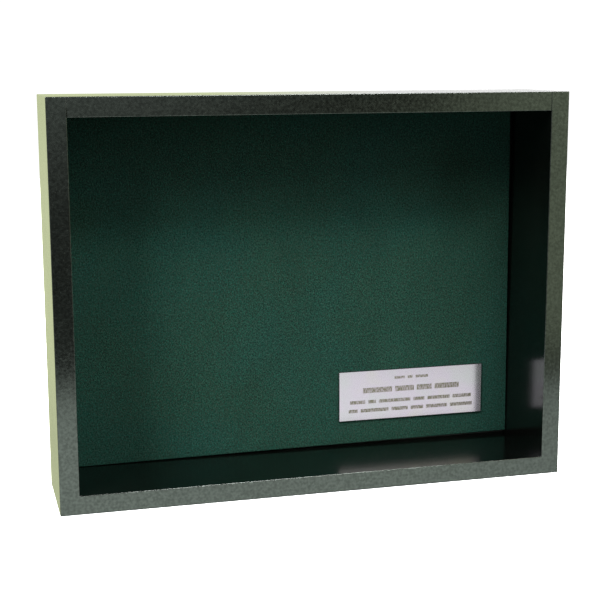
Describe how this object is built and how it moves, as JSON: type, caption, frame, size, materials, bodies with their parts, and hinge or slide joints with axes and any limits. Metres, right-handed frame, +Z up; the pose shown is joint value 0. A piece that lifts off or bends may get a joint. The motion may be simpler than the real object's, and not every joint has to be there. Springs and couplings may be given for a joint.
{
  "type": "shadow box",
  "caption": "Open-fronted lacquered wooden shadow box with a velour-covered display panel, an engraved nameplate and a lift-out back held by turn buttons.",
  "frame": {"origin": "centre of the wooden case's underside, on the surface that it stands on", "axes": "+Z up, -Y out of the open front, +Y towards the wall behind, +X to the right seen from the front"},
  "size_m": [0.362, 0.0774, 0.2774],
  "materials": {
    "lacquered_wood": "black semi-gloss lacquer",
    "dowel_wood": "bare beech",
    "back_hardboard": "smooth hardboard",
    "insert_hardboard": "smooth hardboard",
    "velour": "short-pile velour",
    "plate_metal": "satin silver",
    "tape": "foam tape",
    "button_steel": "zinc plated",
    "screw_steel": "zinc plated",
    "hanger_steel": "zinc plated",
    "nail_brass": "bright",
    "bumper_rubber": "matte"
  },
  "bodies": {
    "case": {"left_stile": "lacquered_wood", "right_stile": "lacquered_wood", "top_rail": "lacquered_wood", "bottom_rail": "lacquered_wood", "dowels_top_left": "dowel_wood", "dowels_top_right": "dowel_wood", "dowels_bottom_left": "dowel_wood", "dowels_bottom_right": "dowel_wood", "back_panel": "back_hardboard", "insert_board": "insert_hardboard", "velour_cover": "velour", "nameplate": "plate_metal", "nameplate_tape": "tape", "turn_button_screws": "screw_steel", "sawtooth_hanger_left": "hanger_steel", "sawtooth_hanger_right": "hanger_steel", "hanger_nails": "nail_brass", "wall_bumper_left": "bumper_rubber", "wall_bumper_right": "bumper_rubber"},
    "turn_button_top_left": {"turn_button_top_left": "button_steel"},
    "turn_button_top_right": {"turn_button_top_right": "button_steel"},
    "turn_button_bottom_left": {"turn_button_bottom_left": "button_steel"},
    "turn_button_bottom_right": {"turn_button_bottom_right": "button_steel"},
    "turn_button_left": {"turn_button_left": "button_steel"},
    "turn_button_right": {"turn_button_right": "button_steel"}
  },
  "joints": [
    {"name": "turn_top_left", "type": "hinge", "parent": "case", "child": "turn_button_top_left", "pos_m": [-0.06, 0.0377, 0.2729], "axis": [0, 1, 0], "continuous": true},
    {"name": "turn_top_right", "type": "hinge", "parent": "case", "child": "turn_button_top_right", "pos_m": [0.06, 0.0377, 0.2729], "axis": [0, 1, 0], "continuous": true},
    {"name": "turn_bottom_left", "type": "hinge", "parent": "case", "child": "turn_button_bottom_left", "pos_m": [-0.09, 0.0377, 0.0045], "axis": [0, 1, 0], "range_deg": [-90, 90]},
    {"name": "turn_bottom_right", "type": "hinge", "parent": "case", "child": "turn_button_bottom_right", "pos_m": [0.09, 0.0377, 0.0045], "axis": [0, 1, 0], "range_deg": [-90, 90]},
    {"name": "turn_left", "type": "hinge", "parent": "case", "child": "turn_button_left", "pos_m": [-0.1765, 0.0377, 0.1387], "axis": [0, 1, 0], "continuous": true},
    {"name": "turn_right", "type": "hinge", "parent": "case", "child": "turn_button_right", "pos_m": [0.1765, 0.0377, 0.1387], "axis": [0, 1, 0], "continuous": true}
  ]
}
